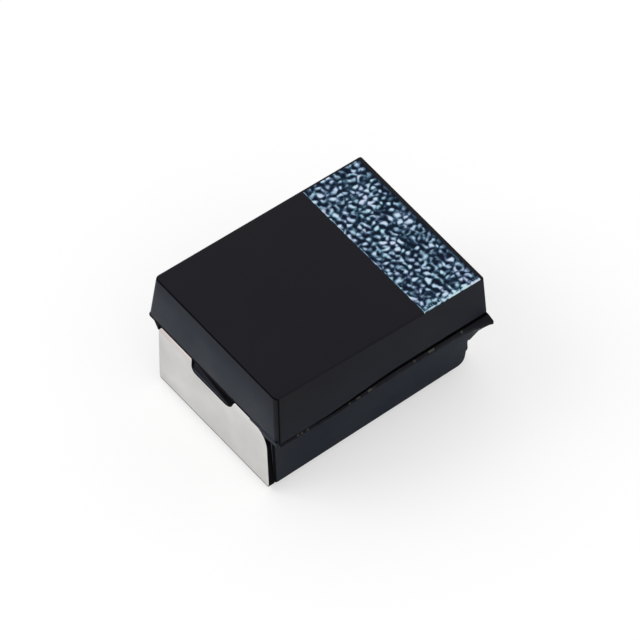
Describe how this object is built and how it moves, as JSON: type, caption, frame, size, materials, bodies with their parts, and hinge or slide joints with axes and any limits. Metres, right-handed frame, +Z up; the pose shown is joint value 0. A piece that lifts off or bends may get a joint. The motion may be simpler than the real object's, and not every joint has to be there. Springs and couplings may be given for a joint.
{
  "type": "tantalum_capacitor",
  "caption": "Surface-mount moulded tantalum capacitor: black epoxy block with a polarity band across the top and folded metal terminals at both ends",
  "frame": {"origin": "bottom centre of the part, on the plane of the solder pads", "axes": "X along the length with the cathode end at -X and the banded anode end at +X, Y across the width, Z up"},
  "size_m": [0.0036, 0.0028, 0.002],
  "materials": {
    "black_epoxy": "fine matt moulded epoxy",
    "marked_epoxy": "speckled laser marking",
    "tinned_strip": "matt tin plating on folded strip",
    "sintered_tantalum": "porous sintered metal",
    "tantalum_wire": "drawn wire",
    "washer_plastic": "smooth white plastic",
    "manganese_dioxide": "dull dark deposit",
    "carbon": "matt dried paste",
    "silver_paint": "matt silver-filled paint"
  },
  "bodies": {
    "root": {"case": "black_epoxy", "polarity_band": "marked_epoxy", "cathode_terminal": "tinned_strip", "anode_terminal": "tinned_strip", "tantalum_pellet": "sintered_tantalum", "anode_wire": "tantalum_wire", "wire_washer": "washer_plastic", "manganese_dioxide_coat": "manganese_dioxide", "carbon_coat": "carbon", "silver_coat": "silver_paint", "silver_adhesive": "silver_paint", "wire_weld": "tantalum_wire"}
  },
  "joints": []
}
